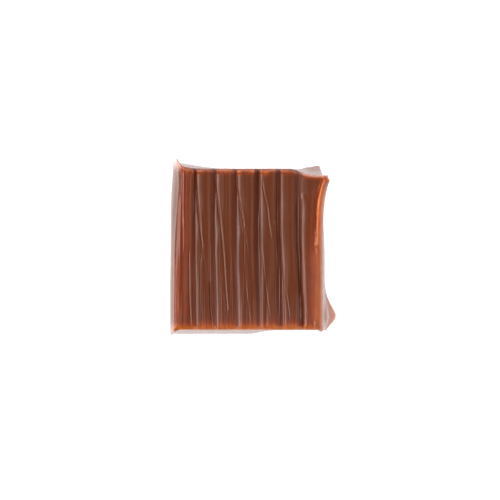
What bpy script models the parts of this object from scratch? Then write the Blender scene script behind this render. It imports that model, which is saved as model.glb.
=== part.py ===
"""Soft caramel candy: one solid slab that lies flat, its grooved face up.

The slab was pressed out as a ribbon, so grooves run along its length (Y) over the
whole upper face, and it was cut across that ribbon at the front and at the back.
Measures below are in millimetres. X is counted from the upper left edge, Y from
the upper front edge and Z from the base; the finished slab is then moved so that
the middle of its box stands over the origin, with the base at Z = 0.
"""

import bpy
import numpy as np

MM = 0.001

# ---- body
WIDTH = 20.58    # across the grooves, between the upper side edges
LENGTH = 22.58   # along the grooves, between the cut ends
HEIGHT = 12.4

# ---- shoulders: how far each upper edge reaches in, and how far it drops
LEFT_SHOULDER = (1.10, 0.95)
RIGHT_SHOULDER = (0.55, 0.75)
FRONT_SHOULDER = (0.62, 0.55)
BACK_SHOULDER = (0.16, 0.24)
FOOT_RADIUS = 0.30

# ---- grooves: deepest line, reach to the left, reach to the right, depth
GROOVES = (
    (2.73, 0.39, 0.52, 0.36),
    (5.42, 0.49, 0.56, 0.38),
    (8.43, 0.63, 0.56, 0.44),
    (11.55, 0.67, 0.59, 0.44),
    (14.52, 0.56, 0.49, 0.40),
    (17.53, 0.91, 0.49, 0.46),
)
LAND_CROWN = 0.05          # how much each land between two grooves swells

# ---- the thin lip along the right edge, with the crease on its inner side
CREASE = (19.46, 0.24, 0.20, 0.20)
CREASE_FROM = 8.4          # the crease fades out towards the front from here
LIP_AT, LIP_HALF, LIP_RISE = 19.80, 0.20, 0.22
LIP_TIP_Y = 21.10          # where the lip stands out furthest, near the back
LIP_OUT, LIP_FADE, LIP_POWER = 0.97, 2.5, 1.2
LIP_DEEP = 4.0             # the overhang has gone this far below the top
BEND_FROM, BEND_TO = 18.2, 19.4   # lands inside this stay straight

# ---- the raised rim that the cut left along the back edge
RIM_IN, RIM_HALF, RIM_RISE = 0.34, 0.22, 0.10

# ---- how the upper back edge runs
BACK_LEFT_OUT, BACK_LEFT_FADE = 0.75, 1.3
BACK_RIGHT_IN, BACK_RIGHT_FROM, BACK_RIGHT_OVER = 0.92, 15.0, 4.2

# ---- how far the walls swell beyond the upper edges
SWELL_AT = 0.30            # height of the widest place, as a share of the whole
SWELL_BACK = 0.28          # share of the swell lost again at the base
LEFT_SWELL, LEFT_SWELL_LOSS = 0.95, 0.46
RIGHT_SWELL = 0.30
FRONT_SWELL, FRONT_SWELL_FROM, FRONT_SWELL_OVER = 0.54, 9.9, 4.2
BACK_SWELL, BACK_SWELL_FROM, BACK_SWELL_OVER = 0.38, 1.5, 7.0

# ---- the flap at the foot of the back wall, right
FLAP_OUT, FLAP_FROM, FLAP_OVER = 0.30, 16.9, 1.8
FLAP_TIP, FLAP_TIP_AT, FLAP_TIP_HALF = 0.22, 20.1, 0.55
FLAP_POWER = 1.25

# ---- the squeezed-out foot at the right, near the front
FLARE_OUT, FLARE_AT = 1.70, 1.98
FLARE_FRONT, FLARE_BACK, FLARE_POWER = 1.60, 2.25, 1.6
FLARE_SLOPE_SHARE, FLARE_SLOPE_POWER = 0.42, 1.7
FLARE_PLATE = (0.75, 1.75)   # the thin plate's top lies between these heights

# ---- corners drawn out by the cut: place (x, y, z), pull, reach
TAILS = (
    ((0.0, 23.25, 11.35), (0.06, 0.95, 0.22), 1.0),
    ((0.0, 0.0, 11.4), (-0.14, -0.36, 0.05), 0.80),
    ((-0.85, -0.50, 4.2), (0.10, -0.22, 0.0), 0.90),
    ((20.3, 0.0, 11.2), (0.06, -0.32, 0.04), 0.70),
)

# ---- mesh density
LAND_STEPS = 2
ROW_STEP = 1.15
WALL_LEVELS = (0.0, 0.09, 0.30, 0.75, 1.15, 1.55, 2.0, 3.2, 5.0, 7.4, 9.8)


def smooth(t):
    t = np.clip(t, 0.0, 1.0)
    return t * t * (3.0 - 2.0 * t)


def fading(distance, reach, power):
    """1 at no distance, falling off evenly."""
    return np.exp(-np.power(np.maximum(distance, 0.0) / reach, power))


def groove_depth(x, groove):
    """A long slope down to the deepest line and a short one up again."""
    at, left, right, depth = groove
    down = smooth((x - (at - left)) / left)
    up = 1.0 - smooth((x - at) / right)
    return depth * np.where(x < at, down, up)


def shoulder(distance, shape):
    """Quarter-round drop at an edge."""
    reach, drop = shape
    t = np.clip(distance / reach, 0.0, 1.0)
    return drop * (1.0 - np.sqrt(1.0 - (1.0 - t) ** 2))


def swell(z):
    """Share of the outward swell at a height: widest low down, none at the top."""
    h = np.clip(z / (HEIGHT - 0.9), 0.0, 1.0)
    above = 1.0 - ((h - SWELL_AT) / (1.0 - SWELL_AT)) ** 2
    below = 1.0 - SWELL_BACK * ((SWELL_AT - h) / SWELL_AT) ** 2
    return np.where(h > SWELL_AT, above, below)


def foot(z):
    """Small rounding inwards at the base."""
    t = np.clip(z / FOOT_RADIUS, 0.0, 1.0)
    return FOOT_RADIUS * (1.0 - np.sqrt(1.0 - (1.0 - t) ** 2))


def top_height(x, y):
    z = np.full(np.shape(x), HEIGHT, float)
    for groove in GROOVES:
        z = z - groove_depth(x, groove)
    edges = [LEFT_SHOULDER[0]] + [g[0] for g in GROOVES] + [CREASE[0]]
    for a, b in zip(edges[:-1], edges[1:]):
        inside = np.clip((x - a) / (b - a), 0.0, 1.0)
        z = z + LAND_CROWN * np.sin(np.pi * inside)
    along = smooth((y - CREASE_FROM) / 3.0)
    z = z - groove_depth(x, CREASE) * (0.25 + 0.75 * along)
    rise = LIP_RISE * (0.35 + 0.65 * along)
    z = z + rise * np.exp(-(((x - LIP_AT) / LIP_HALF) ** 2))
    from_back = LENGTH - y
    z = z + RIM_RISE * np.exp(-(((from_back - RIM_IN) / RIM_HALF) ** 2))
    drops = (
        shoulder(x, LEFT_SHOULDER),
        shoulder(WIDTH - x, RIGHT_SHOULDER),
        shoulder(y, FRONT_SHOULDER),
        shoulder(from_back, BACK_SHOULDER),
    )
    return z - sum(d**4 for d in drops) ** 0.25


def placed(x, y, z):
    """Where a point of the plain block goes on the uneven slab."""
    low = swell(z)
    inward = foot(z)
    near_top = smooth((z - (HEIGHT - LIP_DEEP)) / (LIP_DEEP - 1.0))

    left = -(LEFT_SWELL - LEFT_SWELL_LOSS * (np.clip(y, 0, LENGTH) / LENGTH) ** 3) * low
    left = left + inward

    lip = LIP_OUT * fading(LIP_TIP_Y - y, LIP_FADE, LIP_POWER)
    lip = lip * (1.0 - 0.25 * smooth((y - LIP_TIP_Y) / 1.4))
    right = lip * near_top
    right = right + RIGHT_SWELL * smooth((19.0 - y) / 10.0) * low
    right = right - 0.2 * smooth((y - 19.0) / 3.0) * (1.0 - near_top)
    away = np.where(
        y < FLARE_AT,
        fading(FLARE_AT - y, FLARE_FRONT, 2.2),
        fading(y - FLARE_AT, FLARE_BACK, FLARE_POWER),
    )
    plate = 1.0 - smooth((z - FLARE_PLATE[0]) / (FLARE_PLATE[1] - FLARE_PLATE[0]))
    slope = np.clip(1.0 - z / (HEIGHT - 1.5), 0.0, 1.0) ** FLARE_SLOPE_POWER
    share = FLARE_SLOPE_SHARE * slope + (1.0 - FLARE_SLOPE_SHARE) * plate
    right = right + FLARE_OUT * away * share - inward

    reach = 1.0 - smooth((x - FRONT_SWELL_FROM) / FRONT_SWELL_OVER)
    front = -(FRONT_SWELL * reach + 0.05) * low + inward

    upper = BACK_LEFT_OUT * np.exp(-np.maximum(x, 0.0) / BACK_LEFT_FADE)
    upper = upper - BACK_RIGHT_IN * smooth((x - BACK_RIGHT_FROM) / BACK_RIGHT_OVER)
    reach = 1.0 - smooth((x - BACK_SWELL_FROM) / BACK_SWELL_OVER)
    wall = (BACK_SWELL * reach + 0.04) * low
    flap = FLAP_OUT * smooth((x - FLAP_FROM) / FLAP_OVER)
    flap = flap + FLAP_TIP * np.exp(-(((x - FLAP_TIP_AT) / FLAP_TIP_HALF) ** 2))
    flap = flap + BACK_RIGHT_IN * smooth((x - BACK_RIGHT_FROM) / BACK_RIGHT_OVER)
    opening = np.clip(1.0 - z / (HEIGHT - 0.6), 0.0, 1.0) ** FLAP_POWER
    back = upper + wall + flap * opening - inward

    at_left = 1.0 - smooth(x / 1.6)
    at_right = smooth((x - BEND_FROM) / (BEND_TO - BEND_FROM))
    at_front = 1.0 - smooth(y / 2.0)
    at_back = smooth((y - (LENGTH - 2.2)) / 2.2)
    px = x + left * at_left + right * at_right
    py = y + front * at_front + back * at_back
    pz = np.array(z, float)
    for place, pull, reach in TAILS:
        away = np.sqrt(
            (px - place[0]) ** 2 + (py - place[1]) ** 2 + (0.6 * (pz - place[2])) ** 2
        )
        drawn = np.clip(1.0 - away / reach, 0.0, 1.0) ** 1.8
        px, py, pz = px + pull[0] * drawn, py + pull[1] * drawn, pz + pull[2] * drawn
    return np.stack([px, py, pz], axis=-1)


def quarter(reach, steps):
    """Distances from an edge that take even steps round its shoulder."""
    return [reach * (1.0 - np.cos(a)) for a in np.linspace(0.0, np.pi / 2, steps + 1)]


def columns():
    at = quarter(LEFT_SHOULDER[0], 5)
    at += [WIDTH - d for d in quarter(RIGHT_SHOULDER[0], 4)]
    for groove in GROOVES:
        middle, left, right, _ = groove
        at += [middle - left * s for s in (1.0, 0.66, 0.33)]
        at += [middle] + [middle + right * s for s in (0.35, 0.7, 1.0)]
    ends = [LEFT_SHOULDER[0]] + [g[0] for g in GROOVES] + [CREASE[0] - CREASE[1]]
    for i, (a, b) in enumerate(zip(ends[:-1], ends[1:])):
        a = a + (GROOVES[i - 1][2] if i else 0.0)
        b = b - (GROOVES[i][1] if i < len(GROOVES) else 0.0)
        at += [a + (b - a) * k / LAND_STEPS for k in range(1, LAND_STEPS)]
    at += [CREASE[0] - CREASE[1], CREASE[0] - 0.1, CREASE[0], CREASE[0] + 0.1]
    at += [LIP_AT - 0.1, LIP_AT]
    return np.array(sorted(at))


def rows():
    at = quarter(FRONT_SHOULDER[0], 4)
    at += [LENGTH - d for d in quarter(BACK_SHOULDER[0], 2)]
    at += [LENGTH - RIM_IN - RIM_HALF * s for s in (2.0, 1.0, 0.0)]
    start, stop = FRONT_SHOULDER[0], LENGTH - RIM_IN - 2.0 * RIM_HALF
    count = int(round((stop - start) / ROW_STEP))
    at += [start + (stop - start) * k / count for k in range(1, count)]
    return np.array(sorted(at))


def slab():
    """(points, faces) of the closed slab, in millimetres."""
    xs, ys = columns(), rows()
    nx, ny = len(xs), len(ys)
    gx, gy = np.meshgrid(xs, ys, indexing="ij")
    gz = top_height(gx, gy)
    points = [placed(gx, gy, gz).reshape(-1, 3)]
    faces = [
        (i * ny + j, (i + 1) * ny + j, (i + 1) * ny + j + 1, i * ny + j + 1)
        for i in range(nx - 1)
        for j in range(ny - 1)
    ]
    ring = [(i, 0) for i in range(nx - 1)]
    ring += [(nx - 1, j) for j in range(ny - 1)]
    ring += [(i, ny - 1) for i in range(nx - 1, 0, -1)]
    ring += [(0, j) for j in range(ny - 1, 0, -1)]
    rx = np.array([xs[i] for i, _ in ring])
    ry = np.array([ys[j] for _, j in ring])
    edge = np.array([gz[i, j] for i, j in ring])
    upper = [i * ny + j for i, j in ring]
    count, total = len(ring), nx * ny
    for level in reversed(WALL_LEVELS):
        points.append(placed(rx, ry, level * edge / HEIGHT))
        lower = [total + k for k in range(count)]
        total += count
        for k in range(count):
            n = (k + 1) % count
            faces.append((lower[k], lower[n], upper[n], upper[k]))
        upper = lower
    faces.append(tuple(reversed(upper)))
    points = np.concatenate(points)
    points[:, :2] -= (points[:, :2].min(axis=0) + points[:, :2].max(axis=0)) / 2
    return points, faces


def caramel_material():
    material = bpy.data.materials.new("caramel")
    material.use_nodes = True
    shader = material.node_tree.nodes["Principled BSDF"]
    shader.inputs["Base Color"].default_value = (0.165, 0.048, 0.018, 1.0)
    shader.inputs["Roughness"].default_value = 0.34
    shader.inputs["Metallic"].default_value = 0.0
    shader.inputs["Subsurface Weight"].default_value = 0.2
    shader.inputs["Subsurface Radius"].default_value = (0.0015, 0.0006, 0.0002)
    material.diffuse_color = (0.165, 0.048, 0.018, 1.0)
    return material


def main():
    for obj in list(bpy.data.objects):
        bpy.data.objects.remove(obj, do_unlink=True)
    points, faces = slab()
    mesh = bpy.data.meshes.new("caramel")
    mesh.from_pydata((points * MM).tolist(), [], faces)
    mesh.validate()
    mesh.shade_smooth()
    mesh.set_sharp_from_angle(angle=0.75)
    mesh.materials.append(caramel_material())
    caramel = bpy.data.objects.new("caramel", mesh)
    bpy.context.scene.collection.objects.link(caramel)


main()
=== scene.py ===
"""Looks of the soft caramel candy: a finely modelled slab in place of the plain solid,
with its creases, streaks and rims, a painted glow on its narrow edges, painted sheen and painted shade, on a plain
white table.

Measures of the slab are in millimetres, in the slab's own frame: X from the upper
left edge, Y from the upper front edge, Z from the base.
"""

import math

import bpy
import numpy as np
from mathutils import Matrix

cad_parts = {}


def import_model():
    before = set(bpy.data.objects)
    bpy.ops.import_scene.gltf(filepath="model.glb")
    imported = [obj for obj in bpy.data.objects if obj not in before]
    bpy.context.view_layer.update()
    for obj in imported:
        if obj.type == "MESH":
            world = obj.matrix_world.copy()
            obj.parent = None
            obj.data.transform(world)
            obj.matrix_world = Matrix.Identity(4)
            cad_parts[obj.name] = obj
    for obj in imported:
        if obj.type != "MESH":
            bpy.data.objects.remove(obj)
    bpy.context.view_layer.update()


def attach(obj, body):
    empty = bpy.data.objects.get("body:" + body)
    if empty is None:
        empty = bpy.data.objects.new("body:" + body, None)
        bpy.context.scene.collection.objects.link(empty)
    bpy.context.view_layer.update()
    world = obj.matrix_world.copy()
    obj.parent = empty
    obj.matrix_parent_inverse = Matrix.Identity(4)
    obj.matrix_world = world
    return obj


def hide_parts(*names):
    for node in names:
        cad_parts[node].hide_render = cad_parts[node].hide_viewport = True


MM = 0.001

# ---------------------------------------------------------------- the slab's sizes
WIDTH = 20.58
LENGTH = 22.58
HEIGHT = 12.4

LEFT_SHOULDER = (1.10, 0.95)
RIGHT_SHOULDER = (0.55, 0.75)
FRONT_SHOULDER = (0.62, 0.55)
BACK_SHOULDER = (0.16, 0.24)
FOOT_RADIUS = 0.30
CENTRE = (10.752, 11.67)   # the spot of the slab that stands over the frame's middle
LAND_CROWN = 0.025

# Grooves. Each runs along Y and wanders: where its left wall starts, where that wall
# ends, the middle of the bank on its right, and its depth, each as (Y, value).
GROOVES = (
    (
        ((21.48, 2.40), (17.56, 2.26), (12.52, 2.23), (9.16, 2.25), (4.12, 2.39), (1.32, 2.48)),
        ((21.48, 2.82), (17.56, 2.75), (15.88, 2.70), (12.52, 2.70), (9.16, 2.79), (4.12, 2.84), (1.32, 2.87)),
        ((21.48, 2.86), (19.24, 2.80), (17.56, 2.80), (14.0, 2.84), (9.16, 2.84), (7.48, 2.93), (2.44, 2.98)),
        ((22.32, 0.52), (18.12, 0.44), (15.0, 0.24), (12.0, 0.15), (0.20, 0.13)),
    ),
    (
        ((21.48, 5.00), (17.56, 4.94), (12.52, 4.98), (9.16, 5.08), (4.12, 5.22), (1.32, 5.31)),
        ((21.48, 5.67), (19.52, 5.61), (17.56, 5.45), (14.20, 5.40), (10.84, 5.46), (7.48, 5.53), (2.44, 5.63)),
        ((21.48, 5.66), (19.24, 5.60), (17.56, 5.60), (10.84, 5.65), (8.32, 5.75), (2.44, 5.86)),
        ((22.32, 0.52), (18.82, 0.46), (15.2, 0.24), (12.0, 0.15), (0.20, 0.13)),
    ),
    (
        ((21.48, 7.83), (17.56, 7.85), (12.52, 7.83), (9.16, 8.02), (5.80, 8.22), (2.44, 8.39)),
        ((21.48, 8.47), (19.24, 8.54), (17.56, 8.58), (15.88, 8.47), (12.52, 8.41), (9.16, 8.47), (5.80, 8.62), (2.44, 8.74)),
        ((21.48, 8.58), (18.12, 8.66), (15.88, 8.68), (9.16, 8.72), (7.48, 8.83), (2.44, 8.87)),
        ((22.32, 0.46), (17.42, 0.44), (14.2, 0.24), (12.0, 0.17), (0.20, 0.15)),
    ),
    (
        ((21.48, 10.91), (15.88, 10.93), (12.52, 10.89), (10.84, 10.92), (9.16, 11.07), (4.12, 11.27), (1.32, 11.30)),
        ((21.48, 11.66), (17.56, 11.60), (15.20, 11.46), (12.52, 11.46), (8.20, 11.50), (6.00, 11.62), (4.12, 11.75)),
        ((21.48, 11.80), (19.10, 11.76), (14.48, 11.86), (12.80, 11.90), (9.44, 12.00), (6.08, 12.02), (2.44, 12.02)),
        ((22.32, 0.54), (17.60, 0.48), (14.5, 0.36), (12.52, 0.34), (8.32, 0.30), (4.0, 0.22), (0.20, 0.20)),
    ),
    (
        ((21.48, 13.97), (15.88, 13.95), (12.52, 13.97), (9.16, 14.02), (5.80, 14.04), (2.44, 14.07)),
        ((21.48, 14.17), (15.00, 14.17), (12.52, 14.24), (10.84, 14.30), (8.00, 14.40), (6.00, 14.34), (2.44, 14.34)),
        ((21.48, 14.68), (15.88, 14.67), (12.52, 14.73), (10.84, 14.80), (9.40, 14.86), (7.48, 15.05), (2.44, 15.21)),
        ((22.32, 0.42), (18.0, 0.44), (15.0, 0.42), (12.0, 0.50), (9.44, 0.50), (7.0, 0.38), (0.20, 0.36)),
    ),
    (
        ((21.48, 16.70), (19.50, 16.66), (17.56, 16.62), (12.52, 16.67), (10.40, 16.80), (8.20, 16.95), (5.80, 17.00), (2.44, 17.04)),
        ((21.48, 16.96), (19.0, 16.96), (12.52, 17.00), (10.40, 17.11), (8.20, 17.25), (6.00, 17.32), (4.00, 17.38), (2.44, 17.40)),
        ((21.48, 17.79), (19.24, 17.73), (17.56, 17.63), (12.52, 17.57), (9.70, 17.62), (7.76, 17.63), (5.80, 17.71), (4.40, 17.81), (2.44, 17.95)),
        ((22.32, 0.24), (20.4, 0.22), (19.6, 0.21), (18.9, 0.25), (18.2, 0.36), (17.40, 0.48), (12.52, 0.54), (8.32, 0.62), (0.20, 0.60)),
    ),
)
# where each groove's gentle climb back to the land starts, straight along the groove,
# and where it starts along the fold that leaves the groove, over the back part
CLIMBS = (
    ((21.48, 2.82), (12.2, 2.80), (9.16, 2.74), (7.48, 2.84), (2.44, 2.90)),
    ((21.48, 5.66), (13.6, 5.66), (12.0, 5.62), (10.84, 5.58), (8.32, 5.66), (2.44, 5.77)),
    ((21.48, 8.60), (13.0, 8.66), (9.16, 8.62), (7.48, 8.74), (2.44, 8.80)),
    ((21.48, 11.66), (19.10, 11.66), (17.20, 11.70), (15.88, 11.78), (12.80, 11.83), (10.40, 11.94), (6.08, 11.93), (2.44, 11.93)),
    ((21.48, 14.58), (15.88, 14.58), (12.52, 14.66), (10.84, 14.76), (8.20, 14.90), (6.00, 14.90), (2.44, 15.04)),
    ((22.3, 17.10), (20.6, 17.26), (19.2, 17.44), (18.0, 17.50), (12.52, 17.50), (7.76, 17.68), (4.40, 17.82), (2.44, 17.90)),
)
FOLD_CLIMBS = (
    ((21.48, 2.78), (18.26, 2.97), (16.02, 3.16), (14.4, 3.32), (12.6, 3.48)),
    ((21.48, 5.56), (19.10, 5.62), (17.56, 5.81), (15.6, 6.08), (13.4, 6.30)),
    ((21.48, 8.56), (18.26, 8.72), (16.44, 8.94), (15.0, 9.20), (13.6, 9.40)),
    None,
    None,
    None,
)
# the last three grooves have a narrow ledge on their left wall: where the lower part of
# the wall starts and ends below it, and its share of the depth
STEPS = (
    None,
    None,
    None,
    (
        ((21.48, 11.66), (14.0, 11.64), (11.6, 11.68), (10.4, 11.79), (6.0, 11.79)),
        ((21.48, 11.78), (14.0, 11.79), (11.6, 11.83), (10.4, 11.93), (6.0, 11.93)),
        ((21.48, 0.0), (17.4, 0.0), (15.6, 0.26), (8.0, 0.26), (6.4, 0.0)),
    ),
    (
        ((21.48, 14.31), (15.0, 14.31), (10.40, 14.42), (8.20, 14.56), (6.00, 14.55), (2.44, 14.58)),
        ((21.48, 14.58), (15.0, 14.59), (10.40, 14.74), (8.20, 14.87), (6.00, 14.76), (2.44, 14.80)),
        ((21.48, 0.40), (2.44, 0.44)),
    ),
    (
        ((21.48, 17.27), (12.52, 17.24), (10.40, 17.40), (8.20, 17.45), (6.00, 17.36), (4.00, 17.54), (2.44, 17.56)),
        ((21.48, 17.50), (12.52, 17.50), (10.40, 17.58), (8.20, 17.66), (6.00, 17.70), (4.00, 17.80), (2.44, 17.84)),
        ((21.48, 0.0), (19.6, 0.0), (18.0, 0.20), (15.0, 0.32), (12.0, 0.42), (2.44, 0.50)),
    ),
)
GROOVE_DEPTH = 0.80       # of the depths above
BACK_FOOT = (0.38, 0.50, 0.46, 0.66, 0.60, 0.60)  # that foot over the back part, of the same
BEND = 0.30               # part of the left wall over which it bends down
BANK_WIDE = 0.16          # width of the steep foot of the bank on a groove's right
BANK_SHARE = 0.42         # how much of the climb that foot makes
BANK_SLOPE = (0.52, 0.78)  # slope of the rest, over the front and near the back
BROW = 0.022              # the land stands this much proud just before a groove

CREASE = (19.60, 0.15, 0.14, 0.14)
CREASE_FROM = 8.4
LIP_AT, LIP_HALF, LIP_RISE = 19.87, 0.23, 0.23
LIP_TIP_Y = 21.10
LIP_OUT, LIP_FADE, LIP_POWER = 0.97, 2.5, 1.2
LIP_DEEP = 4.0
BEND_FROM, BEND_TO = 18.2, 19.4

RIM_IN, RIM_HALF, RIM_RISE = 0.34, 0.22, 0.10

BACK_LEFT_OUT, BACK_LEFT_FADE = 0.75, 1.3
BACK_RIGHT_IN, BACK_RIGHT_FROM, BACK_RIGHT_OVER = 0.92, 15.9, 3.4

# where the upper left edge runs, and how far in that bend reaches
LEFT_EDGE = ((22.6, 0.22), (21.5, 0.38), (20.0, 0.40), (17.5, 0.17), (15.5, 0.03), (13.1, -0.12), (11.0, -0.21), (4.0, -0.28), (0.0, -0.28))
LEFT_EDGE_OVER = 1.6

SWELL_AT = 0.30
LEFT_SWELL_AT = (0.44, 0.70)      # at the front, at the back
LEFT_SWELL_POWER = (2.8, 2.5)
SWELL_BACK = 0.28
LEFT_SWELL = ((22.6, 0.40), (21.3, 0.56), (19.8, 0.68), (18.2, 0.74), (14.8, 0.80), (11.8, 0.81), (4.0, 0.84), (0.0, 0.84))
RIGHT_SWELL = 0.30
FRONT_SWELL, FRONT_SWELL_FROM, FRONT_SWELL_OVER = 0.54, 9.9, 4.2
BACK_SWELL, BACK_SWELL_FROM, BACK_SWELL_OVER = 0.38, 1.5, 5.6

FLAP_OUT, FLAP_FROM, FLAP_OVER = 0.30, 17.15, 1.5
FLAP_TIP, FLAP_TIP_AT, FLAP_TIP_HALF = 0.22, 20.1, 0.55
FLAP_POWER = 2.0

FLARE_OUT, FLARE_AT = 1.70, 1.98
FLARE_FRONT, FLARE_BACK, FLARE_POWER = 1.60, 2.25, 1.6
FLARE_SLOPE_SHARE, FLARE_SLOPE_POWER = 0.42, 1.7
FLARE_PLATE = (0.75, 1.75)

TAILS = (
    ((0.26, 23.25, 11.35), (-0.20, 0.98, 0.22), 1.0),
    ((0.0, 0.0, 11.4), (-0.14, -0.36, 0.05), 0.80),
    ((-0.85, -0.50, 4.2), (0.10, -0.22, 0.0), 0.90),
    ((20.3, 0.0, 11.2), (0.06, -0.32, 0.04), 0.70),
)

CREASE_DEPTH, CREASE_LEFT = 0.55, 1.0
# Creases that the ribbon was pressed with: long thin folds that leave a groove and run
# aslant over the land. (depth, reach left, reach right, the fold's course as (X, Y))
CREASES = (
    (0.205, 0.21, 0.18, ((2.80, 21.3), (3.06, 18.2), (3.42, 15.4), (3.68, 12.6), (3.86, 11.2))),
    (0.060, 0.12, 0.12, ((3.84, 11.2), (3.58, 10.2), (3.43, 8.7), (3.44, 4.2), (3.47, 0.5))),
    (0.070, 0.12, 0.12, ((3.86, 11.2), (3.96, 9.9), (4.24, 8.3), (4.59, 7.1))),
    (0.520, 0.11, 0.10, ((4.76, 7.2), (4.76, 5.8), (4.79, 4.4), (4.86, 3.1), (5.02, 1.6), (5.16, 0.4))),
    (0.200, 0.21, 0.18, ((5.55, 21.0), (5.76, 18.9), (6.17, 16.5), (6.52, 13.4), (6.88, 9.1), (7.08, 5.3), (7.24, 3.6), (7.34, 2.4))),
    (0.210, 0.21, 0.18, ((8.54, 20.4), (8.84, 18.4), (9.14, 16.9), (9.48, 15.5), (9.66, 14.3))),
    (0.080, 0.14, 0.12, ((9.64, 14.3), (9.96, 12.3), (10.20, 10.4))),
    (0.075, 0.14, 0.12, ((9.64, 14.3), (9.66, 11.8), (9.66, 9.0), (9.78, 6.9), (10.13, 3.9), (10.50, 0.9))),
    (0.160, 0.16, 0.18, ((12.12, 20.9), (12.52, 18.6), (12.90, 17.1), (13.06, 15.1), (13.48, 12.6))),
    (0.105, 0.16, 0.12, ((11.86, 15.1), (12.10, 11.6), (12.50, 7.6), (12.79, 4.9), (13.11, 2.8), (13.53, 0.2))),
    (0.130, 0.18, 0.12, ((14.98, 6.7), (15.47, 5.3), (15.77, 3.6), (16.0, 1.4))),
    (0.080, 0.13, 0.11, ((17.9, 4.3), (18.27, 2.9), (18.6, 1.2))),
    (0.060, 0.12, 0.11, ((17.86, 3.9), (18.06, 3.1), (18.24, 1.0))),
    (0.115, 0.12, 0.11, ((1.92, 11.4), (1.93, 5.6), (2.02, 3.6), (2.14, 0.6))),
    (0.060, 0.13, 0.11, ((4.80, 12.6), (4.80, 7.2))),
    (0.040, 0.10, 0.10, ((3.98, 6.6), (4.05, 1.6))),
    (0.045, 0.10, 0.10, ((6.22, 8.3), (6.40, 1.2))),
    (0.035, 0.09, 0.09, ((7.60, 9.5), (7.72, 2.6))),
    (0.060, 0.05, 0.14, ((11.58, 16.8), (11.59, 12.52), (11.68, 9.44), (11.72, 7.4))),
    (0.060, 0.05, 0.12, ((14.23, 21.6), (14.23, 15.0), (14.33, 13.0), (14.40, 10.8), (14.46, 9.0))),
    (0.105, 0.05, 0.12, ((14.49, 9.2), (14.50, 5.52), (14.55, 1.60))),
    (0.080, 0.05, 0.16, ((17.14, 19.2), (17.14, 12.52), (17.27, 10.4), (17.36, 8.2), (17.38, 7.6))),
    (0.220, 0.05, 0.15, ((17.46, 5.2), (17.48, 1.20))),
    (0.030, 0.08, 0.09, ((2.74, 19.24), (2.81, 16.16))),
    (0.040, 0.10, 0.10, ((5.50, 17.28), (5.56, 9.44))),
    (0.050, 0.06, 0.07, ((8.40, 20.92), (8.41, 19.52))),
    (0.050, 0.08, 0.10, ((4.16, 9.6), (4.20, 6.6))),
    (0.040, 0.09, 0.10, ((5.02, 6.0), (5.08, 0.8))),
    (0.040, 0.08, 0.09, ((7.92, 4.9), (7.95, 0.9))),
    (0.040, 0.08, 0.09, ((8.20, 4.4), (8.26, 1.0))),
    (0.045, 0.09, 0.11, ((9.20, 4.6), (9.24, 0.8))),
    (0.040, 0.08, 0.09, ((10.86, 5.2), (10.92, 0.8))),
    (0.040, 0.08, 0.09, ((11.28, 4.8), (11.32, 1.0))),
    (0.035, 0.09, 0.10, ((13.94, 8.8), (13.97, 0.9))),
    (0.045, 0.08, 0.09, ((16.88, 5.0), (16.90, 1.0))),
    (0.035, 0.08, 0.09, ((18.32, 5.2), (18.36, 1.0))),
)
# Low ridges along the left shoulder: (rise, half width, course)
RIDGES = (
    (0.060, 0.085, ((0.46, 18.9), (0.32, 18.0), (0.24, 17.2), (0.10, 15.2))),
    (0.050, 0.075, ((0.78, 22.3), (0.73, 18.4), (0.68, 16.0), (0.64, 13.0), (0.62, 9.5))),
    (0.110, 0.110, ((1.16, 22.6), (1.13, 18.6), (1.10, 17.2), (1.15, 14.6), (1.17, 13.9))),
    (0.050, 0.100, ((1.17, 15.2), (1.18, 13.3), (1.18, 10.4))),
    (0.055, 0.075, ((0.62, 15.2), (0.62, 7.6), (0.46, 4.6), (0.44, 2.4))),
    (0.075, 0.085, ((0.88, 5.4), (0.86, 0.5))),
    (0.040, 0.075, ((-0.02, 9.0), (-0.06, 1.0))),
)
# Small crumbs and pits: (x, y, rise, reach across, reach along)
SPECKS = (
    (8.35, 20.53, 0.10, 0.07, 0.22),
    (6.62, 7.05, 0.07, 0.09, 0.11),
    (0.36, 15.88, -0.12, 0.07, 0.10),
    (19.66, 13.62, 0.14, 0.16, 0.20),
    (19.62, 11.92, 0.12, 0.13, 0.16),
    (19.60, 12.75, 0.07, 0.08, 0.10),
    (19.74, 12.98, 0.07, 0.07, 0.08),
    (19.52, 12.42, 0.06, 0.07, 0.08),
    (19.70, 13.22, 0.06, 0.06, 0.07),
    (17.42, 3.60, 0.09, 0.05, 0.60),
    (19.60, 0.95, 0.15, 0.16, 0.30),
    (19.50, 0.42, 0.10, 0.14, 0.14),
    (10.4, 21.9, 0.05, 0.12, 0.08),
    (3.95, 22.25, 0.06, 0.12, 0.07),
    (7.0, 22.1, 0.05, 0.10, 0.07),
    (14.9, 22.1, 0.05, 0.12, 0.07),
)


# Painted sheen in the grooves, a light veil standing in for reflected light: near the front, and over the back part
GROOVE_SHEEN = ((0.038, 0.084, 0.104, 0.046, 0.004, 0.0), (0.0, 0.010, 0.014, 0.0, 0.0, 0.026))
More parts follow.
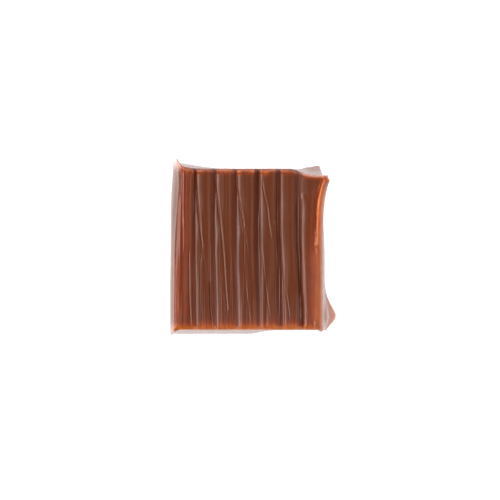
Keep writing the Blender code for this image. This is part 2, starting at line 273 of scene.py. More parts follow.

# How far the painted glow reaches in from the slab's edges, colour standing in for light shining through them:
# (distance from the edge, glow)
FRONT_GLOW = ((0.0, 0.52), (0.08, 0.62), (0.24, 0.62), (0.50, 0.52), (0.70, 0.34), (1.15, 0.24), (1.60, 0.12), (3.6, 0.04), (6.0, 0.0))
BACK_GLOW = ((0.0, 0.10), (0.14, 0.22), (0.26, 0.56), (0.42, 0.54), (0.56, 0.34), (0.85, 0.24), (1.10, 0.09), (2.2, 0.0))
RIGHT_GLOW_FRONT = ((0.0, 0.58), (0.35, 0.56), (0.8, 0.46), (1.3, 0.34), (1.9, 0.22), (2.6, 0.12), (3.4, 0.0))
RIGHT_GLOW_BACK = ((0.0, 0.66), (0.5, 0.58), (0.8, 0.36), (1.10, 0.22), (1.8, 0.15), (2.8, 0.02), (3.2, 0.0))
LEFT_GLOW = ((0.0, 0.10), (0.35, 0.17), (0.6, 0.24), (1.1, 0.26), (1.5, 0.24), (2.3, 0.11), (2.8, 0.0))


# ---------------------------------------------------------------- small helpers
def smooth(t):
    t = np.clip(t, 0.0, 1.0)
    return t * t * (3.0 - 2.0 * t)


def fading(distance, reach, power):
    return np.exp(-np.power(np.maximum(distance, 0.0) / reach, power))


def course(y, stations, soften=0.55):
    """X of a line at each Y, from a few stations, with its corners softened."""
    stations = sorted((b, a) for a, b in stations)
    at = np.array([s[0] for s in stations])
    x = np.array([s[1] for s in stations])
    total = 0.0
    for k in range(-3, 4):
        total = total + np.interp(y + k * soften / 3.0, at, x)
    return total / 7.0


def by_y(y, stations, soften=1.2):
    """The same for tables given as (Y, X)."""
    return course(y, tuple((x, s) for s, x in stations), soften)


def noise(x, y, seed, size=256):
    """Seeded value noise between -1 and 1, one cell a unit."""
    table = np.random.default_rng(seed).uniform(-1.0, 1.0, (size, size))
    xi, yi = np.floor(x).astype(int), np.floor(y).astype(int)
    fx, fy = smooth(x - xi), smooth(y - yi)
    a, b = table[xi % size, yi % size], table[(xi + 1) % size, yi % size]
    c, d = table[xi % size, (yi + 1) % size], table[(xi + 1) % size, (yi + 1) % size]
    return (a * (1 - fx) + b * fx) * (1 - fy) + (c * (1 - fx) + d * fx) * fy


def shoulder(distance, shape):
    reach, drop = shape
    t = np.clip(distance / reach, 0.0, 1.0)
    return drop * (1.0 - np.sqrt(1.0 - (1.0 - t) ** 2))


def valley(s, left, right):
    """1 on the fold line, 0 a reach away on either side: the surface falls ever faster
    up to the line and climbs evenly after it."""
    down = np.clip((s + left) / left, 0.0, 1.0) ** 1.8
    up = np.clip(1.0 - s / right, 0.0, 1.0) ** 1.25
    return np.where(s < 0.0, down, up)


# ---------------------------------------------------------------- the grooved face
def bent(x, y):
    """Where X of the even slab goes on the upper face, whose left edge runs aslant."""
    return x + by_y(y, LEFT_EDGE, 0.8) * (1.0 - smooth(x / LEFT_EDGE_OVER))


BANK_EASE = (          # how steep each bank's rest stays, along Y
    ((22.0, 0.98), (0.0, 0.96)),
    ((22.0, 0.96), (19.0, 0.94), (17.2, 0.84), (13.5, 0.78), (0.0, 0.78)),
    ((22.0, 1.00), (19.5, 0.94), (17.2, 0.86), (13.0, 0.80), (4.0, 0.78), (0.0, 0.80)),
    ((22.0, 1.00), (19.0, 0.94), (17.2, 0.84), (14.0, 0.84), (12.0, 0.92), (8.0, 0.84), (0.0, 0.97)),
    ((22.0, 0.94), (18.0, 1.00), (0.0, 1.00)),
    ((22.0, 1.00), (0.0, 1.00)),
)
BANK_KEPT = (          # how much of each steep bank is kept, along Y
    ((22.0, 1.00), (0.0, 1.00)),
    ((22.0, 1.00), (0.0, 1.00)),
    ((22.0, 1.00), (0.0, 1.00)),
    ((22.0, 1.00), (0.0, 1.00)),
    ((22.0, 1.00), (14.0, 1.00), (12.0, 0.82), (8.0, 0.76), (5.5, 0.96), (0.0, 1.00)),
    ((22.0, 1.00), (9.5, 1.00), (7.0, 0.90), (3.0, 0.94), (0.0, 1.00)),
)


def groove_relief(x, y):
    z = np.zeros(np.shape(x))
    for (wall, floor, bank, depth), climb, fold, step, kept, ease, keep in zip(
        GROOVES, CLIMBS, FOLD_CLIMBS, STEPS, BACK_FOOT, BANK_EASE, BANK_KEPT
    ):
        a, b = by_y(y, wall), by_y(y, floor)
        h, deep = by_y(y, bank), by_y(y, depth)
        u = np.clip((x - a) / (b - a), 0.0, 1.0)
        down = np.where(u < BEND, u * u / (2.0 * BEND), u - 0.5 * BEND) / (1.0 - 0.5 * BEND)
        if step:
            c, d, part = (by_y(y, table, 0.8) for table in step)
            down = (1.0 - part) * down + part * np.clip((x - c) / (d - c), 0.0, 1.0)
        steep = smooth((x - h + 0.5 * BANK_WIDE) / BANK_WIDE)
        share = (BANK_SHARE + 0.25 * (deep - 0.17)) * (1.0 - (1.0 - kept) * smooth((y - 11.0 - 2.6 * (deep > 0.40)) / 4.0))
        share = share * by_y(y, keep)
        slope = BANK_SLOPE[0] + (BANK_SLOPE[1] - BANK_SLOPE[0]) * smooth((y - 17.0) / 3.5)
        slope = slope * by_y(y, ease)
        open_back = smooth((y - 18.0) / 1.4) if wall is GROOVES[-1][0] else 0.0
        share = share * (1.0 - open_back)
        reach = GROOVE_DEPTH * deep * (1.0 - share) / slope
        even, fade = 0.52 * reach, 0.48 * reach

        def climbed(line):
            t = np.maximum(x - by_y(y, line), 0.0)
            rest = fade * (1.0 - np.exp(-np.maximum(t - even, 0.0) / fade))
            return (np.minimum(t, even) + rest) / reach

        gentle = climbed(climb)
        if fold:
            part = smooth((y - 12.0) / 6.0)
            gentle = gentle + part * (climbed(fold) - gentle)
        spread = 1.0 - np.exp(-np.maximum(x - by_y(y, climb), 0.0) / 1.6)
        gentle = gentle + open_back * (spread - gentle)
        z = z - GROOVE_DEPTH * deep * (down - share * steep - (1.0 - share) * gentle)
        z = z + BROW * np.exp(-(((x - a + 0.12) / 0.22) ** 2))
    return z


def crease_relief(x, y):
    z = np.zeros(np.shape(x))
    for depth, left, right, line in CREASES:
        ys = [p[1] for p in line]
        high, low = max(ys), min(ys)
        at = course(y, line)
        strength = smooth((high - y) / 1.0 + 0.15) * smooth((y - low) / 0.9 + 0.1)
        strength = strength * (0.82 + 0.25 * noise(y / 1.7, at * 0.0 + 3.0, 11)) * (0.70 + 0.30 * smooth((y - 1.0) / 6.0))
        s = x - at + 0.5 * right
        z = z - CREASE_DEPTH * strength * depth * valley(s, CREASE_LEFT * left, right)
        z = z + 0.16 * strength * depth * np.exp(-(((s - right * 1.25) / (1.1 * right)) ** 2))
    across = bent(x, y)
    for rise, half, line in RIDGES:
        ys = [p[1] for p in line]
        high, low = max(ys), min(ys)
        at = course(y, line)
        strength = smooth((high - y) / 1.2 + 0.3) * smooth((y - low) / 1.2)
        z = z + strength * rise * np.exp(-(((across - at) / half) ** 2))
    return z


def streak_relief(x, y):
    """Fine lines drawn along the ribbon, stronger low on the left."""
    wander = 0.10 * noise(x / 4.0, y / 7.0, 5)
    xs = x + wander
    z = 0.010 * noise(xs / 0.55, y / 14.0, 21)
    z = z + 0.006 * noise(xs / 0.26 + 7.3, y / 9.0, 22)
    z = z + 0.0035 * noise(xs / 0.14 + 3.1, y / 6.0, 23)
    rough = smooth((12.5 - y) / 7.0) * (0.65 + 0.35 * smooth((10.5 - x) / 3.0))
    z = z * (1.0 + 2.4 * rough)
    z = z + 0.020 * noise(x / 3.1, y / 4.6, 24)
    return z


def top_height(x, y):
    z = np.full(np.shape(x), HEIGHT, float)
    z = z + groove_relief(x, y)
    edges = [LEFT_SHOULDER[0], 2.73, 5.42, 8.43, 11.55, 14.52, 17.53, CREASE[0]]
    for a, b in zip(edges[:-1], edges[1:]):
        inside = np.clip((x - a) / (b - a), 0.0, 1.0)
        crown = LAND_CROWN * (1.0 if a > 2.0 else 1.0 - 0.7 * smooth((13.0 - y) / 6.0))
        z = z + crown * np.sin(np.pi * inside)
    along = smooth((y - CREASE_FROM) / 3.0)
    s = x - CREASE[0]
    z = z - CREASE[3] * valley(s, CREASE[1], CREASE[2]) * (0.10 + 0.90 * smooth((y - 12.3) / 3.4))
    rise = LIP_RISE * (0.08 + 0.92 * smooth((y - 9.4) / 3.2))
    rise = rise * (1.0 + 0.18 * noise(y / 0.8, y * 0.0 + 2.0, 31))
    z = z + rise * np.exp(-(((x - LIP_AT) / LIP_HALF) ** 2))
    # towards the front the right side rolls off more gently
    z = z - 0.22 * smooth((x - 18.4) / 2.1) ** 2 * (1.0 - along)
    z = z + crease_relief(x, y) + streak_relief(x, y)
    for sx, sy, rise, rx, ry in SPECKS:
        z = z + rise * np.exp(-(((x - sx) / rx) ** 2) - ((y - sy) / ry) ** 2)
    from_back = LENGTH - y
    jag = 0.10 * noise(x / 0.9, x * 0.0 + 1.0, 41) + 0.05 * noise(x / 0.33, x * 0.0 + 1.0, 42)
    z = z + RIM_RISE * np.exp(-(((from_back - RIM_IN - jag) / RIM_HALF) ** 2))
    drops = (
        shoulder(0.15 + x * (1.25 + 0.75 * smooth((13.0 - y) / 6.0)), LEFT_SHOULDER),
        shoulder(0.07 + (WIDTH - x) * (1.0 - 0.30 * smooth((13.0 - y) / 4.0)), RIGHT_SHOULDER),
        shoulder(y, FRONT_SHOULDER),
        shoulder(from_back, BACK_SHOULDER),
    )
    return z - sum(d**4 for d in drops) ** 0.25


# ---------------------------------------------------------------- walls and corners
def swell(z, at=SWELL_AT, power=2.0):
    h = np.clip(z / (HEIGHT - 0.9), 0.0, 1.0)
    above = 1.0 - np.maximum((h - at) / (1.0 - at), 0.0) ** power
    below = 1.0 - SWELL_BACK * ((at - h) / at) ** 2
    return np.where(h > at, above, below)


def foot(z):
    t = np.clip(z / FOOT_RADIUS, 0.0, 1.0)
    return FOOT_RADIUS * (1.0 - np.sqrt(1.0 - (1.0 - t) ** 2))


def placed(x, y, z):
    """Where a point of the plain block goes on the uneven slab."""
    low = swell(z)
    inward = foot(z)
    near_top = smooth((z - (HEIGHT - LIP_DEEP)) / (LIP_DEEP - 1.0))
    ends = smooth(z / 0.8) * smooth((HEIGHT - 0.7 - z) / 1.2)

    # the sides were pressed: fine lines along the ribbon
    side = 0.022 * noise(z / 0.8, y / 12.0, 51) + 0.012 * noise(z / 0.33, y / 8.0, 52)
    side = (side + 0.05 * noise(z / 4.5, y / 6.0, 53)) * ends
    share = np.clip(y, 0, LENGTH) / LENGTH
    left_at = LEFT_SWELL_AT[0] + (LEFT_SWELL_AT[1] - LEFT_SWELL_AT[0]) * share
    left = -by_y(y, LEFT_SWELL, 0.6) * swell(z, left_at, LEFT_SWELL_POWER[0] + (LEFT_SWELL_POWER[1] - LEFT_SWELL_POWER[0]) * share)
    left = left + inward - side + 0.04 * low
    aslant = (bent(x, y) - x) * smooth((z - 6.5) / 4.6)

    lip = LIP_OUT * fading(LIP_TIP_Y - y, LIP_FADE, LIP_POWER)
    lip = lip * (1.0 - 0.25 * smooth((y - LIP_TIP_Y) / 1.4))
    right = lip * near_top
    right = right + RIGHT_SWELL * smooth((19.0 - y) / 10.0) * low
    right = right + (0.12 * smooth((y - 18.6) / 2.0) - 0.46 * smooth((y - 21.2) / 1.4)) * (1.0 - near_top)
    away = np.where(
        y < FLARE_AT,
        fading(FLARE_AT - y, FLARE_FRONT, 2.2),
        fading(y - FLARE_AT, FLARE_BACK, FLARE_POWER),
    )
    plate = 1.0 - smooth((z - FLARE_PLATE[0]) / (FLARE_PLATE[1] - FLARE_PLATE[0]))
    slope = np.clip(1.0 - z / (HEIGHT - 1.5), 0.0, 1.0) ** FLARE_SLOPE_POWER
    share = FLARE_SLOPE_SHARE * slope + (1.0 - FLARE_SLOPE_SHARE) * plate
    right = right + FLARE_OUT * away * share - inward + 0.8 * side

    # the ends were cut: faint lines drawn down by the blade, and a slow wave
    cut = 0.020 * noise(x / 0.7, z / 9.0, 61) + 0.010 * noise(x / 0.28, z / 6.0, 62)
    cut = (cut + 0.05 * noise(x / 5.0, z / 5.0, 63)) * ends
    reach = 1.0 - smooth((x - FRONT_SWELL_FROM) / FRONT_SWELL_OVER)
    front = -(FRONT_SWELL * reach + 0.05) * low + inward - cut

    upper = BACK_LEFT_OUT * np.exp(-np.maximum(x, 0.0) / BACK_LEFT_FADE)
    upper = upper - BACK_RIGHT_IN * smooth((x - BACK_RIGHT_FROM) / BACK_RIGHT_OVER)
    reach = 1.0 - smooth((x - BACK_SWELL_FROM) / BACK_SWELL_OVER)
    wall = (BACK_SWELL * reach + 0.04) * low
    flap = FLAP_OUT * smooth((x - FLAP_FROM) / FLAP_OVER)
    flap = flap + FLAP_TIP * np.exp(-(((x - FLAP_TIP_AT) / FLAP_TIP_HALF) ** 2))
    flap = flap + BACK_RIGHT_IN * smooth((x - BACK_RIGHT_FROM) / BACK_RIGHT_OVER)
    opening = np.clip(1.0 - z / (HEIGHT - 0.6), 0.0, 1.0) ** FLAP_POWER
    back = upper + wall + flap * opening - inward + cut

    at_left = 1.0 - smooth(x / 1.6)
    at_right = smooth((x - BEND_FROM) / (BEND_TO - BEND_FROM))
    at_front = 1.0 - smooth(y / 2.0)
    at_back = smooth((y - (LENGTH - 2.2)) / 2.2)
    px = x + aslant + left * at_left + right * at_right
    py = y + front * at_front + back * at_back
    pz = np.array(z, float)
    for place, pull, reach in TAILS:
        away = np.sqrt(
            (px - place[0]) ** 2 + (py - place[1]) ** 2 + (0.6 * (pz - place[2])) ** 2
        )
        drawn = np.clip(1.0 - away / reach, 0.0, 1.0) ** 1.8
        px, py, pz = px + pull[0] * drawn, py + pull[1] * drawn, pz + pull[2] * drawn
    return np.stack([px, py, pz], axis=-1)


# ---------------------------------------------------------------- the fine mesh
def spaced(length, near, far, step):
    """Places from 0 to length, dense round both shoulders and even between."""
    at = [near * (1.0 - math.cos(a)) for a in np.linspace(0.0, math.pi / 2, 15)]
    at += [length - far * (1.0 - math.cos(a)) for a in np.linspace(0.0, math.pi / 2, 12)]
    count = int(round((length - near - far) / step))
    at += [near + (length - near - far) * k / count for k in range(1, count)]
    return np.array(sorted(at))


def slab():
    xs = spaced(WIDTH, LEFT_SHOULDER[0], RIGHT_SHOULDER[0], 0.042)
    ys = spaced(LENGTH, FRONT_SHOULDER[0], 0.9, 0.24)
    zs = [FOOT_RADIUS * (1.0 - math.cos(a)) for a in np.linspace(0.0, math.pi / 2, 6)]
    zs += [FOOT_RADIUS + (2.2 - FOOT_RADIUS) * k / 7 for k in range(1, 8)]
    zs += [2.2 + (11.9 - 2.2) * k / 14 for k in range(1, 15)]
    nx, ny = len(xs), len(ys)
    gx, gy = np.meshgrid(xs, ys, indexing="ij")
    gz = top_height(gx, gy)
    points = [placed(gx, gy, gz).reshape(-1, 3)]
    place = [np.stack([gx, gy, gz], axis=-1).reshape(-1, 3)]
    i, j = np.meshgrid(np.arange(nx - 1), np.arange(ny - 1), indexing="ij")
    a = (i * ny + j).ravel()
    quads = [np.stack([a, a + ny, a + ny + 1, a + 1], axis=1)]
    ring = [(i, 0) for i in range(nx - 1)]
    ring += [(nx - 1, j) for j in range(ny - 1)]
    ring += [(i, ny - 1) for i in range(nx - 1, 0, -1)]
    ring += [(0, j) for j in range(ny - 1, 0, -1)]
    rx = np.array([xs[i] for i, _ in ring])
    ry = np.array([ys[j] for _, j in ring])
    edge = np.array([gz[i, j] for i, j in ring])
    upper = np.array([i * ny + j for i, j in ring])
    count, total = len(ring), nx * ny
    for level in reversed(zs):
        z = level * edge / HEIGHT
        points.append(placed(rx, ry, z))
        place.append(np.stack([rx, ry, z], axis=-1))
        lower = total + np.arange(count)
        total += count
        quads.append(
            np.stack([lower, np.roll(lower, -1), np.roll(upper, -1), upper], axis=1)
        )
        upper = lower
    faces = np.concatenate(quads).tolist()
    faces.append(tuple(int(v) for v in reversed(upper)))
    points = np.concatenate(points)
    points[:, :2] -= CENTRE
    return points, np.concatenate(place), faces


def painted_edge_glow(place):
    """Painted glow: 0 deep inside the slab's faces, 1 on the narrow edges, where colour stands in for light shining
    through.
    """
    x, y, z = place[:, 0], place[:, 1], place[:, 2]
    top = smooth((z - 10.6) / 1.4)
    jag = 0.10 * noise(x / 1.3, x * 0.0 + 5.0, 71) + 0.07 * noise(x / 0.4, x * 0.0 + 5.0, 72)
    front = np.interp(y + jag, *zip(*FRONT_GLOW))
    jag = 0.12 * noise(x / 0.8, x * 0.0 + 6.0, 73) + 0.08 * noise(x / 0.3, x * 0.0 + 6.0, 74)
    back = np.interp(LENGTH - y + jag, *zip(*BACK_GLOW))
    lit = 0.84 + 0.30 * noise(x / 1.1, x * 0.0 + 7.0, 75) + 0.22 * noise(x / 0.35, x * 0.0 + 7.0, 76)
    back = back * np.clip(lit, 0.5, 1.25)
    back = np.maximum(back, 0.48 * smooth((x - 16.6) / 1.6) * np.exp(-(((LENGTH - y) / 1.15) ** 2)))
    for wall, floor, bank, depth in GROOVES:
        a, h = by_y(y, wall), by_y(y, bank)
        notch = smooth((x - a) / 0.2) * (1.0 - smooth((x - h + 0.1) / 0.25))
        back = back * (1.0 - 0.60 * notch)
        front = front * (1.0 - 0.30 * notch * smooth((y - 0.4) / 0.3))
    along = smooth((y - 9.5) / 8.5)
    inward = WIDTH - x
    right = (1.0 - along) * np.interp(inward, *zip(*RIGHT_GLOW_FRONT))
    right = right + along * np.interp(inward, *zip(*RIGHT_GLOW_BACK)) * (1.0 - 0.5 * smooth((y - 18.5) / 2.5))
    lip = np.exp(-(((x - LIP_AT + 0.09 * smooth((y - 15.5) / 1.5) * (1.0 - smooth((y - 18.2) / 1.6))) / 0.265) ** 4)) * smooth((y - 10.0) / 3.0)
    lip = lip * (0.72 + 0.05 * smooth((y - 15.0) / 2.0) - 0.12 * smooth((y - 18.0) / 2.0))
    inner = 0.42 * np.exp(-(((x - LIP_AT + 0.40) / 0.30) ** 2)) * smooth((y - 17.5) / 2.5)
    lip = np.maximum(lip, inner)
    left = np.interp(x, *zip(*LEFT_GLOW)) * (1.0 - 0.22 * smooth((x - 0.5) / 0.4) * smooth((14.0 - y) / 6.0)) + 0.10 * smooth((0.9 - x) / 0.5) * smooth((13.0 - y) / 7.0)
    tip = 0.66 * smooth((x - 19.95) / 0.35) * smooth((y - 20.3) / 0.7)
    edge = np.maximum.reduce([front, back, right, lip, left, tip]) * top
    flare = smooth((1.9 - z) / 1.2) * smooth((x - WIDTH + 0.3) / 0.3)
    flare = flare * np.exp(-(((y - FLARE_AT) / 2.4) ** 2))
    corner = np.exp(-((np.maximum(x - 0.15, 0.0) / 0.42) ** 2) - ((np.maximum(LENGTH - 0.1 - y, 0.0) / 0.45) ** 2)) * top
    walls = 0.06 * smooth((z - 9.5) / 2.5) + 0.16 * smooth((z - 9.8) / 1.6) * smooth((0.3 - x) / 0.3) * smooth((15.0 - y) / 8.0)
    flap = 0.24 * smooth((y - LENGTH + 0.3) / 0.3) * np.exp(-(((x - FLAP_TIP_AT) / 0.6) ** 2)) * (1.0 - smooth((z - 1.5) / 6.0))
    return np.maximum.reduce([edge, 0.95 * flare, 0.36 * corner, walls, flap])


def painted_sheen_and_light(place):
    """Painted sheen and light in a whitish pink: the flare lit through from the table, the outer right
    shoulder, the lower walls and, faintly, the rims, and a veil in the grooves, standing in for reflections and light."""
    x, y, z = place[:, 0], place[:, 1], place[:, 2]
    top = smooth((z - 10.6) / 1.0)
    side = smooth((x - WIDTH + 0.3) / 0.3)
    flare = smooth((7.0 - z) / 6.0) * side * np.exp(-(((y - FLARE_AT) / 2.9) ** 2))
    plate = smooth((1.9 - z) / 1.0) * side * np.exp(-(((y - FLARE_AT) / 2.6) ** 2))
    flare = flare * (1.0 - 0.74 * plate)
    roll = 0.30 * smooth((x - LIP_AT - 0.18) / 0.22) * (1.0 - 0.8 * smooth((y - 20.2) / 0.8)) * top
    roll = np.maximum(roll, 0.09 * smooth((x - 18.2) / 1.6) * (1.0 - smooth((y - 9.0) / 4.0)) * top)
    rim = (0.19 + 0.22 * smooth((x - 16.4) / 1.6)) * (1.0 - smooth((LENGTH - y - 0.10) / 0.60)) * top
    streaks = 0.55 + 0.45 * noise(x / 0.24, y / 7.0, 81)
    front = 0.055 * smooth((6.5 - y) / 6.0) * streaks * top * smooth((x - 1.6) / 1.2)
    hem = 0.01 * smooth((0.9 - y) / 0.6) * top
    corner = np.exp(-((np.maximum(x - 0.1, 0.0) / 0.5) ** 2) - ((np.maximum(LENGTH - 0.1 - y, 0.0) / 0.5) ** 2))
    below = 1.0 - smooth((z - 11.0) / 0.8)
    wall = 0.28 * smooth((0.3 - y) / 0.3) * (1.0 - 0.75 * smooth((x - 8.0) / 8.0)) * below
    left = 0.06 * smooth((0.3 - x) / 0.3) * smooth((16.5 - y) / 9.0) * (1.0 - smooth((z - 9.3) / 1.9))
    foot_corner = 0.45 * np.exp(-((x / 0.9) ** 2) - ((y / 0.9) ** 2)) * below
    parts = (flare, roll, rim, front, hem, 0.80 * corner, wall, left, foot_corner)
    sheen_and_light = np.maximum.reduce(np.broadcast_arrays(*parts))
    # painted sheen in each groove: a light veil standing in for reflected light
    groove_sheen = np.zeros(np.shape(x))
    for (wall, floor, bank, depth), low, high in zip(GROOVES, GROOVE_SHEEN[0], GROOVE_SHEEN[1]):
        a, h = by_y(y, wall), by_y(y, bank)
        notch = smooth((x - a - 0.05) / 0.2) * (1.0 - smooth((x - h + 0.05) / (0.22 + 0.30 * smooth((9.5 - y) / 6.0))))
        groove_sheen = groove_sheen + notch * (high + (low - high) * smooth((13.0 - y) / 7.0)) * top
    return sheen_and_light + groove_sheen


# painted shade in each groove's wall and on each bank, in the order of GROOVES
GROOVE_PAINTED_SHADE = (0.04, 0.02, 0.03, 0.22, 0.30, 0.32)
BANK_PAINTED_SHADE = (0.16, 0.38, 0.34, 0.32, 0.0, 0.0)


def drawn(place):
    """How strongly the surface is streaked: most near the front, least at the back."""
    x, y = place[:, 0], place[:, 1]
    return 0.20 + 0.80 * smooth((14.0 - y) / 8.0) * (0.75 + 0.25 * smooth((12.0 - x) / 4.0))


def painted_shade(place):
    """Painted shade: darker colour in the grooves' deep lines, most in the right-hand ones, and on the banks of the
    first four grooves under their highlights.
    """
    x, y, z = place[:, 0], place[:, 1], place[:, 2]
    across = bent(x, y)
    dark = np.zeros(np.shape(x))
    for (wall, floor, bank, depth), amount, facing in zip(GROOVES, GROOVE_PAINTED_SHADE, BANK_PAINTED_SHADE):
        a, b, h = by_y(y, wall), by_y(y, floor), by_y(y, bank)
        dark = dark + amount * smooth((across - a) / 0.12) * (1.0 - smooth((across - b - 0.02) / 0.16))
        risen = smooth((across - h + 0.14) / 0.12) * (1.0 - smooth((across - h - 0.16) / 0.16))
        dark = np.maximum(dark, facing * risen * smooth((18.5 - y) / 2.5))
    return dark * smooth((z - 10.6) / 1.0) * smooth((y - 2.0) / 3.0)


# ---------------------------------------------------------------- materials
def caramel_material():
    material = bpy.data.materials.new("caramel_fine")
    material.use_nodes = True
    nodes, links = material.node_tree.nodes, material.node_tree.links
    nodes.clear()
    out = nodes.new("ShaderNodeOutputMaterial")
    shader = nodes.new("ShaderNodeBsdfPrincipled")
    links.new(shader.outputs["BSDF"], out.inputs["Surface"])

    where = nodes.new("ShaderNodeTexCoord")
    along = nodes.new("ShaderNodeMapping")       # stretched along the ribbon
    along.inputs["Scale"].default_value = (1.0, 0.035, 0.22)
    links.new(where.outputs["Object"], along.inputs["Vector"])

    def texture(vector, scale, detail, roughness=0.55):
        node = nodes.new("ShaderNodeTexNoise")
        node.inputs["Scale"].default_value = scale
        node.inputs["Detail"].default_value = detail
        node.inputs["Roughness"].default_value = roughness
        links.new(vector, node.inputs["Vector"])
        return node.outputs["Fac"]

    def math_node(kind, a, b=None, clamp=False):
        node = nodes.new("ShaderNodeMath")
        node.operation, node.use_clamp = kind, clamp
        for socket, value in zip(node.inputs, (a, b)):
            if value is None:
                continue
            if isinstance(value, (int, float)):
                socket.default_value = value
            else:
                links.new(value, socket)
        return node.outputs[0]

    def mixed(factor, a, b):
        node = nodes.new("ShaderNodeMix")
        node.data_type = "RGBA"
        for socket, value in ((node.inputs[0], factor), (node.inputs[6], a), (node.inputs[7], b)):
            if isinstance(value, (int, float)):
                socket.default_value = value
            elif isinstance(value, tuple):
                socket.default_value = (*value, 1.0)
            else:
                links.new(value, socket)
        return node.outputs[2]

    # the painted glow mask: orange colour standing in for light shining through the edges
    painted_glow = nodes.new("ShaderNodeAttribute")
    painted_glow.attribute_name = "painted_glow"
    # the painted sheen and light mask
    sheen_light_attr = nodes.new("ShaderNodeAttribute")
    sheen_light_attr.attribute_name = "painted_sheen_and_light"

    streak = texture(along.outputs["Vector"], 3600.0, 3.0, 0.65)
    broad = texture(along.outputs["Vector"], 620.0, 2.0)
    mottle = texture(where.outputs["Object"], 520.0, 4.0)
    grain = texture(where.outputs["Object"], 5200.0, 2.0)

    brown = mixed(broad, (0.149, 0.0372, 0.0052), (0.172, 0.0345, 0.0048))
    brown = mixed(math_node("MULTIPLY", math_node("SUBTRACT", mottle, 0.42, True), 1.6, True), brown, (0.151, 0.0435, 0.0064))
    # the painted glow's colours, from the faces' brown to the orange of light shining through
    ramp = nodes.new("ShaderNodeValToRGB")
    ramp.color_ramp.interpolation = "LINEAR"
    ramp.color_ramp.elements[0].position = 0.0
    ramp.color_ramp.elements[0].color = (0.164, 0.030, 0.0058, 1.0)
    ramp.color_ramp.elements[1].position = 1.0
    ramp.color_ramp.elements[1].color = (0.97, 0.40, 0.21, 1.0)
    for at, colour in ((0.26, (0.30, 0.050, 0.008)), (0.56, (0.58, 0.145, 0.016)), (0.82, (0.82, 0.250, 0.065))):
        stop = ramp.color_ramp.elements.new(at)
        stop.color = (*colour, 1.0)
    uneven = math_node("MULTIPLY", painted_glow.outputs["Fac"], math_node("ADD", math_node("MULTIPLY", mottle, 0.5), 0.75), True)
    links.new(uneven, ramp.inputs["Fac"])
    colour = mixed(math_node("MULTIPLY", uneven, 3.2, True), brown, ramp.outputs["Color"])
    # mixes in the painted sheen and light: a whitish pink standing in for reflections and light through the flare
    colour = mixed(sheen_light_attr.outputs["Fac"], colour, (0.88, 0.61, 0.56))
    # darkens the colour towards a deep brown by the painted shade mask
    painted_shade_attr = nodes.new("ShaderNodeAttribute")
    painted_shade_attr.attribute_name = "painted_shade"
    colour = mixed(painted_shade_attr.outputs["Fac"], colour, (0.022, 0.0060, 0.0022))
    shade = nodes.new("ShaderNodeMapRange")
    shade.inputs["From Min"].default_value = 0.3
    shade.inputs["From Max"].default_value = 0.7
    shade.inputs["To Min"].default_value = 0.80
    shade.inputs["To Max"].default_value = 1.18
    links.new(streak, shade.inputs["Value"])
    final = nodes.new("ShaderNodeMix")
    final.data_type, final.blend_type = "RGBA", "MULTIPLY"
    streaked = nodes.new("ShaderNodeAttribute")
    streaked.attribute_name = "drawn"
    links.new(streaked.outputs["Fac"], final.inputs[0])
    links.new(colour, final.inputs[6])
    links.new(shade.outputs["Result"], final.inputs[7])
    links.new(final.outputs[2], shader.inputs["Base Color"])

    rough = nodes.new("ShaderNodeMapRange")
    rough.inputs["From Min"].default_value = 0.3
    rough.inputs["From Max"].default_value = 0.7
    rough.inputs["To Min"].default_value = 0.19
    rough.inputs["To Max"].default_value = 0.28
    links.new(math_node("MULTIPLY", math_node("ADD", streak, mottle), 0.5), rough.inputs["Value"])
    links.new(rough.outputs["Result"], shader.inputs["Roughness"])

    fine = nodes.new("ShaderNodeBump")
    fine.inputs["Strength"].default_value = 0.35
    fine.inputs["Distance"].default_value = 0.00005
    links.new(math_node("ADD", math_node("MULTIPLY", streak, 0.8), math_node("MULTIPLY", grain, 0.2)), fine.inputs["Height"])
    links.new(fine.outputs["Normal"], shader.inputs["Normal"])

    shader.inputs["IOR"].default_value = 1.48
    shader.inputs["Subsurface Weight"].default_value = 0.30
    shader.inputs["Subsurface Radius"].default_value = (1.0, 0.34, 0.14)
    shader.inputs["Subsurface Scale"].default_value = 0.0003
    return material


def table_material():
    material = bpy.data.materials.new("white_table")
    material.use_nodes = True
    nodes, links = material.node_tree.nodes, material.node_tree.links
    shader = nodes["Principled BSDF"]
    shader.inputs["Base Color"].default_value = (0.42, 0.42, 0.42, 1.0)
    shader.inputs["Roughness"].default_value = 0.9
    shader.inputs["Specular IOR Level"].default_value = 0.0
    shader.inputs["Emission Color"].default_value = (1.0, 1.0, 1.0, 1.0)
    shader.inputs["Emission Strength"].default_value = 0.95
    return material


# ---------------------------------------------------------------- the scene
def look(obj, target):
    from mathutils import Vector

    direction = Vector(target) - obj.location
    obj.rotation_euler = direction.to_track_quat("-Z", "Y").to_euler()


def area_light(name, location, target, size, radiance, colour=(1.0, 1.0, 1.0)):
    """A soft box whose surface shines with the given radiance."""
    data = bpy.data.lights.new(name, "AREA")
    data.shape, data.size, data.size_y = "RECTANGLE", size[0], size[1]
    data.energy = radiance * math.pi * size[0] * size[1] * 1.0
    data.color = colour
    light = bpy.data.objects.new(name, data)
    bpy.context.scene.collection.objects.link(light)
    light.location = location
    look(light, target)
    return light


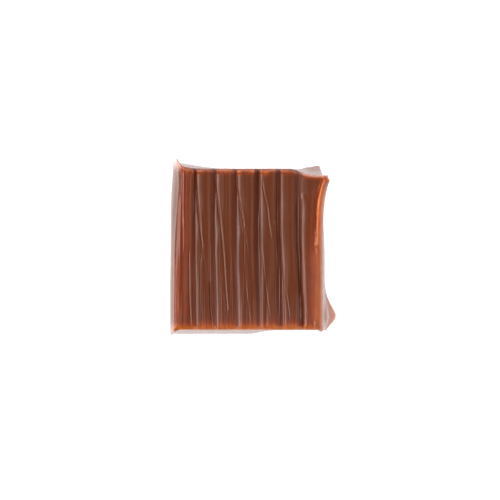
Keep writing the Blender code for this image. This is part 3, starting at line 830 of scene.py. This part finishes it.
def main():
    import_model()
    scene = bpy.context.scene
    scene.view_settings.view_transform = "Standard"
    scene.view_settings.look = "None"

    points, place, faces = slab()
    mesh = bpy.data.meshes.new("caramel_body")
    mesh.from_pydata((points * MM).tolist(), [], faces)
    # masks for the painted glow, the painted sheen and light, the painted shade, and the streaks' strength
    for name, values in (("painted_glow", painted_edge_glow(place)), ("painted_sheen_and_light", painted_sheen_and_light(place)), ("drawn", drawn(place)), ("painted_shade", painted_shade(place))):
        attribute = mesh.attributes.new(name, "FLOAT", "POINT")
        attribute.data.foreach_set("value", np.clip(values, 0.0, 1.0).astype(np.float32))
    mesh.shade_smooth()
    mesh.materials.append(caramel_material())
    body = bpy.data.objects.new("caramel_body", mesh)
    scene.collection.objects.link(body)
    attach(body, "root")
    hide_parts("caramel")

    floor_mesh = bpy.data.meshes.new("table")
    side = 1.5
    floor_mesh.from_pydata(
        [(-side, -side, -0.00001), (side, -side, -0.00001), (side, side, -0.00001), (-side, side, -0.00001)],
        [],
        [(0, 1, 2, 3)],
    )
    floor_mesh.materials.append(table_material())
    floor = bpy.data.objects.new("table", floor_mesh)
    scene.collection.objects.link(floor)

    world = bpy.data.worlds.new("studio")
    world.use_nodes = True
    world.node_tree.nodes["Background"].inputs["Color"].default_value = (1.0, 0.95, 0.88, 1.0)
    world.node_tree.nodes["Background"].inputs["Strength"].default_value = 0.20
    scene.world = world
    centre = (0.0, 0.0, 0.006)
    area_light("overhead", (-0.35, 0.10, 2.60), (-0.35, 0.10, 0.0), (2.0, 2.6), 0.16, (1.0, 0.97, 0.84))
    area_light("fill", (-0.56, 0.08, 1.12), centre, (0.46, 0.90), 1.2, (1.0, 0.90, 0.92))
    area_light("back", (-0.05, 0.86, 0.54), centre, (0.70, 0.45), 3.3, (0.98, 0.86, 0.92))
    area_light("right", (0.75, -0.10, 0.70), centre, (0.80, 1.20), 0.16, (0.60, 0.42, 1.0))
    area_light("front_right", (0.60, -0.66, 0.30), centre, (0.60, 0.30), 2.6, (1.0, 0.93, 0.92))
    area_light("low_right", (0.92, -0.12, 0.09), centre, (0.90, 0.14), 4.4, (1.0, 0.92, 0.90))
    area_light("key", (-0.82, 0.14, 0.63), centre, (0.54, 0.90), 5.15, (1.0, 0.81, 0.74))

    camera_data = bpy.data.cameras.new("camera")
    camera_data.sensor_width = 36.0
    away = 2.0
    camera_data.lens = 36.0 * away / 0.070
    camera_data.clip_start, camera_data.clip_end = 0.01, 20.0
    camera = bpy.data.objects.new("camera", camera_data)
    scene.collection.objects.link(camera)
    camera.location = (CAMERA_X, CAMERA_Y, 0.0124 + away)
    camera.rotation_euler = (0.0, 0.0, 0.0)
    scene.camera = camera


CAMERA_X = (250.0 - 252.6) * 0.14 * MM
CAMERA_Y = (246.6 - 250.0) * 0.14 * MM

main()
